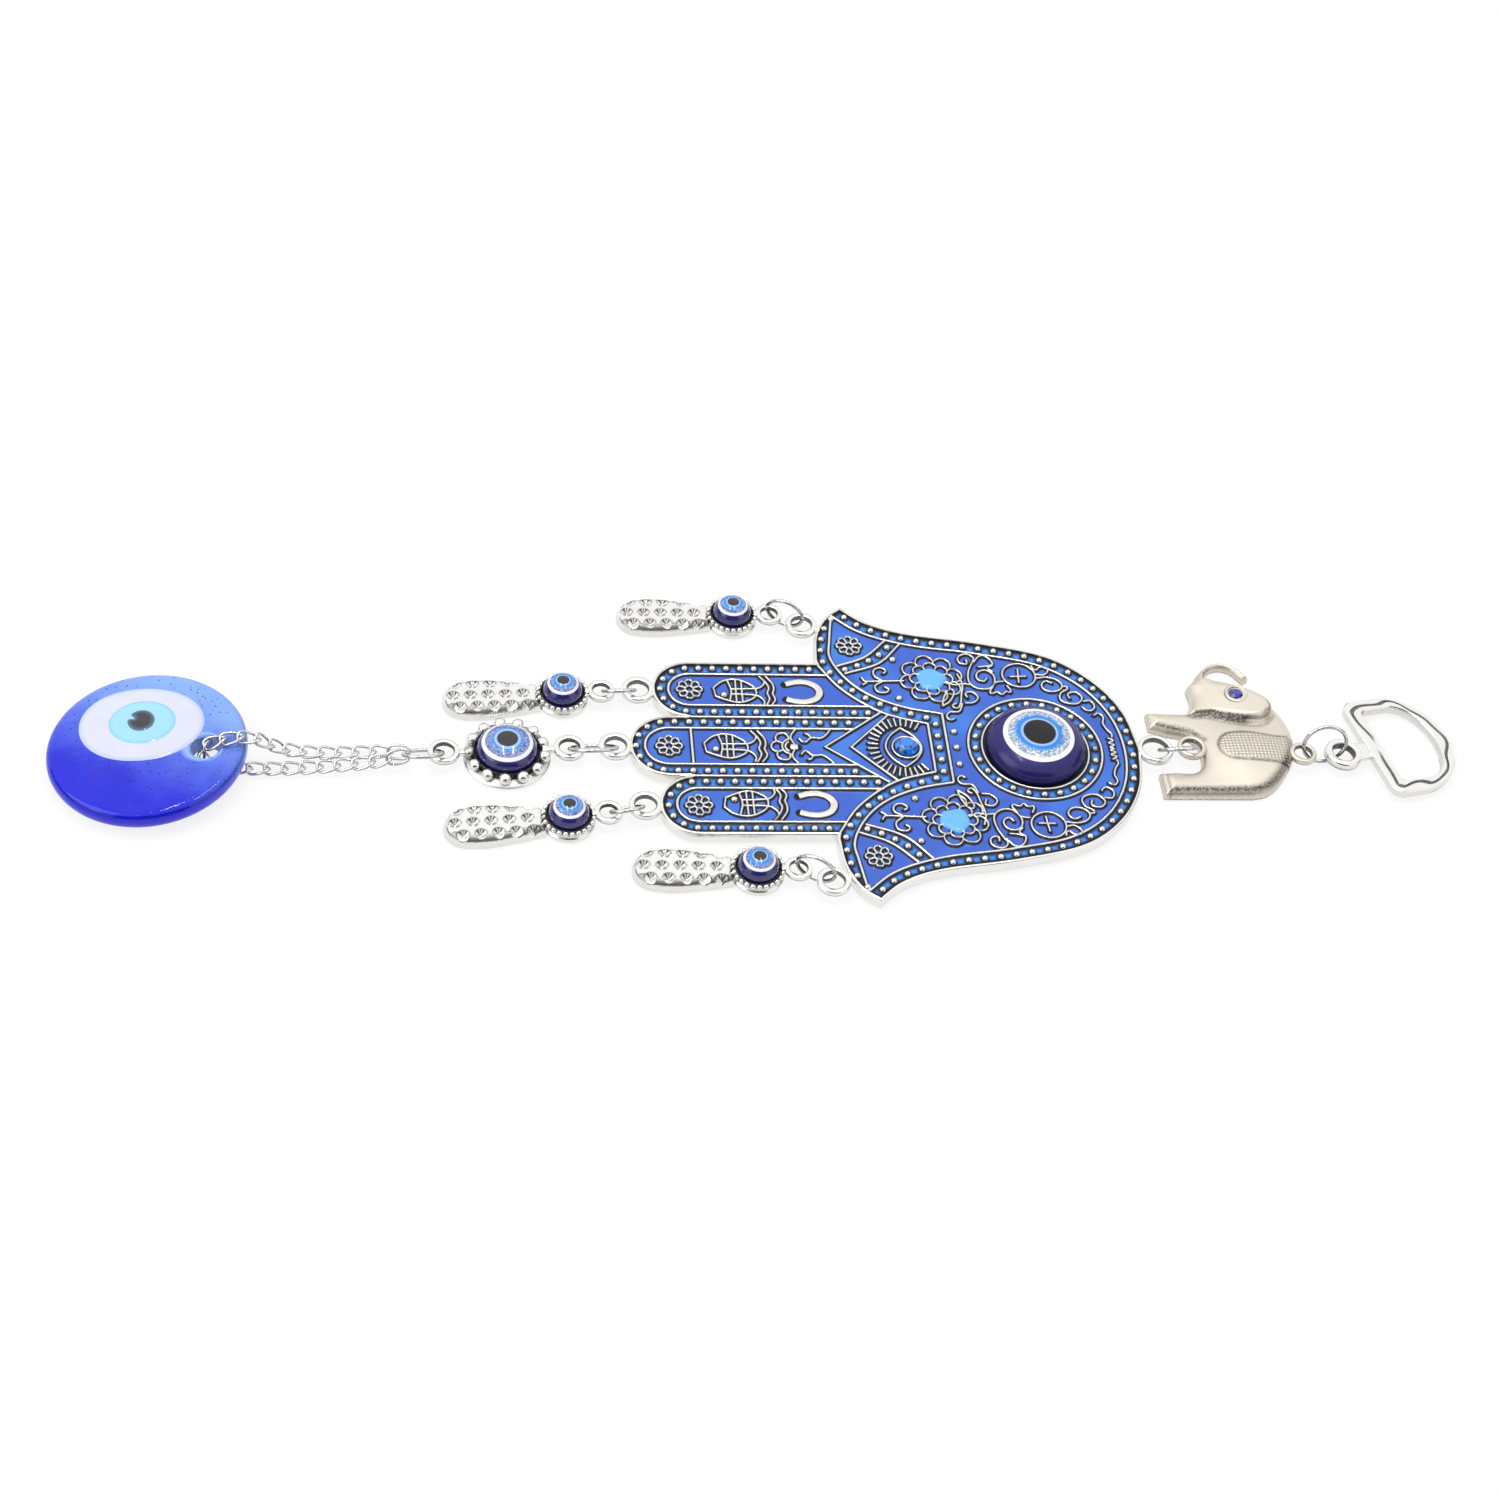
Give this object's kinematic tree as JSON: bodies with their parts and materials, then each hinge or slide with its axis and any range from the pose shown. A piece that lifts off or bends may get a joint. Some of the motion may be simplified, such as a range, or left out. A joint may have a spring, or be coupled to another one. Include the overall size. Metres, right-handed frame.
{
  "type": "evil eye hanging ornament",
  "caption": "Hanging hamsa hand ornament with an elephant link, a loop hanger, feather dangles, a round eye link and a glass eye disc on a doubled chain.",
  "frame": {"origin": "on the back of the hand plate, under the middle of the palm eye", "axes": "+X along the ornament towards its hanger, +Z out of the hand's face, +Y across the hand"},
  "size_m": [0.2836, 0.0822, 0.0095],
  "materials": {
    "enamelled_silver": "glossy blue enamel in cast silver cells with a bright raised pattern",
    "sky_enamel": "glossy light blue poured drop",
    "eye_resin": "glossy domed resin with a painted eye under it",
    "crystal": "faceted blue crystal with a foiled back",
    "cobalt_glass": "poured cobalt glass with seeds and a laid on eye",
    "cast_silver": "bright silver plate on a casting",
    "warm_silver": "satin pale silver plate on a casting",
    "nickel_wire": "bright nickel plated wire"
  },
  "bodies": {
    "hanger": {"hanger": "cast_silver"},
    "hanger_ring": {"hanger_ring": "nickel_wire"},
    "elephant": {"elephant": "warm_silver", "elephant_stone": "crystal"},
    "wrist_ring": {"wrist_ring": "nickel_wire"},
    "hand": {"hand_plate": "enamelled_silver", "palm_eye": "eye_resin", "kite_stone": "crystal", "flower_drop_far": "sky_enamel", "flower_drop_near": "sky_enamel"},
    "far_thumb_ring": {"far_thumb_ring": "nickel_wire"},
    "far_thumb_dangle": {"far_thumb_dangle": "cast_silver", "far_thumb_eye": "eye_resin"},
    "index_ring": {"index_ring": "nickel_wire"},
    "index_dangle": {"index_dangle": "cast_silver", "index_eye": "eye_resin"},
    "ring_finger_ring": {"ring_finger_ring": "nickel_wire"},
    "ring_finger_dangle": {"ring_finger_dangle": "cast_silver", "ring_finger_eye": "eye_resin"},
    "near_thumb_ring": {"near_thumb_ring": "nickel_wire"},
    "near_thumb_dangle": {"near_thumb_dangle": "cast_silver", "near_thumb_eye": "eye_resin"},
    "middle_ring": {"middle_ring": "nickel_wire"},
    "connector": {"connector": "cast_silver", "connector_eye": "eye_resin"},
    "chain_ring": {"chain_ring": "nickel_wire"},
    "chain_pair_1": {"chain_link_01": "nickel_wire", "chain_link_25": "nickel_wire"},
    "chain_pair_2": {"chain_link_02": "nickel_wire", "chain_link_24": "nickel_wire"},
    "chain_pair_3": {"chain_link_03": "nickel_wire", "chain_link_23": "nickel_wire"},
    "chain_pair_4": {"chain_link_04": "nickel_wire", "chain_link_22": "nickel_wire"},
    "chain_pair_5": {"chain_link_05": "nickel_wire", "chain_link_21": "nickel_wire"},
    "chain_end": {"chain_link_06": "nickel_wire", "chain_link_07": "nickel_wire", "chain_link_08": "nickel_wire", "chain_link_09": "nickel_wire", "chain_link_10": "nickel_wire", "chain_link_11": "nickel_wire", "chain_link_12": "nickel_wire", "chain_link_13": "nickel_wire", "chain_link_14": "nickel_wire", "chain_link_15": "nickel_wire", "chain_link_16": "nickel_wire", "chain_link_17": "nickel_wire", "chain_link_18": "nickel_wire", "chain_link_19": "nickel_wire", "chain_link_20": "nickel_wire"},
    "glass_eye": {"glass_eye": "cobalt_glass"}
  },
  "joints": [
    {"name": "hanger_ring_swing", "type": "hinge", "parent": "hanger", "child": "hanger_ring", "pos_m": [0.06442, -0.00087, 0.00225], "axis": [0.0455, 0.0109, 0.9989], "range_deg": [-15, 40]},
    {"name": "elephant_fold", "type": "hinge", "parent": "hanger_ring", "child": "elephant", "pos_m": [0.06008, -0.00034, 0.00481], "axis": [-0.0172, -0.9847, 0.1736], "range_deg": [-60, 0]},
    {"name": "wrist_ring_swing", "type": "hinge", "parent": "elephant", "child": "wrist_ring", "pos_m": [0.03275, 0.00068, 0.00225], "axis": [0, 0, 1], "range_deg": [-12, 6]},
    {"name": "hand_fold", "type": "hinge", "parent": "wrist_ring", "child": "hand", "pos_m": [0.02932, -0.00083, 0.00359], "axis": [0.0648, -0.7403, -0.6691], "range_deg": [-60, 0]},
    {"name": "far_thumb_ring_swing", "type": "hinge", "parent": "hand", "child": "far_thumb_ring", "pos_m": [-0.04468, 0.0346, 0.00225], "axis": [0, 0, 1], "range_deg": [-60, 14]},
    {"name": "far_thumb_dangle_fold", "type": "hinge", "parent": "far_thumb_ring", "child": "far_thumb_dangle", "pos_m": [-0.04829, 0.03582, 0.00461], "axis": [0.4162, 0.8925, 0.1736], "range_deg": [0, 75]},
    {"name": "index_ring_swing", "type": "hinge", "parent": "hand", "child": "index_ring", "pos_m": [-0.07985, 0.0155, 0.00225], "axis": [0, 0, 1], "range_deg": [-40, 2]},
    {"name": "index_dangle_fold", "type": "hinge", "parent": "index_ring", "child": "index_dangle", "pos_m": [-0.08376, 0.01474, 0.00283], "axis": [-0.0376, 0.7184, 0.6947], "range_deg": [0, 75]},
    {"name": "ring_finger_ring_swing", "type": "hinge", "parent": "hand", "child": "ring_finger_ring", "pos_m": [-0.07985, -0.0155, 0.00225], "axis": [0, 0, 1], "range_deg": [-6, 38]},
    {"name": "ring_finger_dangle_fold", "type": "hinge", "parent": "ring_finger_ring", "child": "ring_finger_dangle", "pos_m": [-0.08355, -0.01699, 0.00283], "axis": [-0.174, 0.698, 0.6947], "range_deg": [0, 75]},
    {"name": "near_thumb_ring_swing", "type": "hinge", "parent": "hand", "child": "near_thumb_ring", "pos_m": [-0.04468, -0.0346, 0.00225], "axis": [0, 0, 1], "range_deg": [-4, 60]},
    {"name": "near_thumb_dangle_fold", "type": "hinge", "parent": "near_thumb_ring", "child": "near_thumb_dangle", "pos_m": [-0.04826, -0.03332, 0.00461], "axis": [0.4317, 0.8851, 0.1736], "range_deg": [0, 75]},
    {"name": "middle_ring_fold", "type": "hinge", "parent": "hand", "child": "middle_ring", "pos_m": [-0.0876, 0, 0.00225], "axis": [0.0523, -0.9986, 0], "range_deg": [-15, 0]},
    {"name": "connector_fold", "type": "hinge", "parent": "middle_ring", "child": "connector", "pos_m": [-0.0896, -0.00173, 0.00359], "axis": [-0.035, 0.6682, 0.7431], "range_deg": [0, 45]},
    {"name": "chain_ring_swing", "type": "hinge", "parent": "connector", "child": "chain_ring", "pos_m": [-0.11887, -0.00177, 0.00225], "axis": [0, 0, 1], "range_deg": [-25, 25]},
    {"name": "chain_pair_1_fold", "type": "hinge", "parent": "chain_ring", "child": "chain_pair_1", "pos_m": [-0.12294, -0.00278, 0.00287], "axis": [-0.0322, 0.6148, 0.788], "range_deg": [0, 30]},
    {"name": "chain_pair_2_bend", "type": "hinge", "parent": "chain_pair_1", "child": "chain_pair_2", "pos_m": [-0.12938, -0.00252, 0.00197], "axis": [0.0523, -0.9986, 0], "range_deg": [-25, 0]},
    {"name": "chain_pair_3_bend", "type": "hinge", "parent": "chain_pair_2", "child": "chain_pair_3", "pos_m": [-0.1327, -0.00249, 0.00149], "axis": [0.0523, -0.9986, 0], "range_deg": [-25, 0]},
    {"name": "chain_pair_4_bend", "type": "hinge", "parent": "chain_pair_3", "child": "chain_pair_4", "pos_m": [-0.13606, -0.00262, 0.00124], "axis": [0.0523, -0.9986, 0], "range_deg": [-25, 0]},
    {"name": "chain_pair_5_bend", "type": "hinge", "parent": "chain_pair_4", "child": "chain_pair_5", "pos_m": [-0.13943, -0.00282, 0.00115], "axis": [0.0523, -0.9986, 0], "range_deg": [-25, 0]},
    {"name": "chain_end_bend", "type": "hinge", "parent": "chain_pair_5", "child": "chain_end", "pos_m": [-0.14279, -0.00303, 0.00119], "axis": [0.0523, -0.9986, 0], "range_deg": [-25, 0]},
    {"name": "glass_eye_swing", "type": "hinge", "parent": "chain_end", "child": "glass_eye", "pos_m": [-0.16441, -0.00416, 0.00197], "axis": [-0.0673, 0.0097, 0.9977], "range_deg": [-25, 25]}
  ]
}
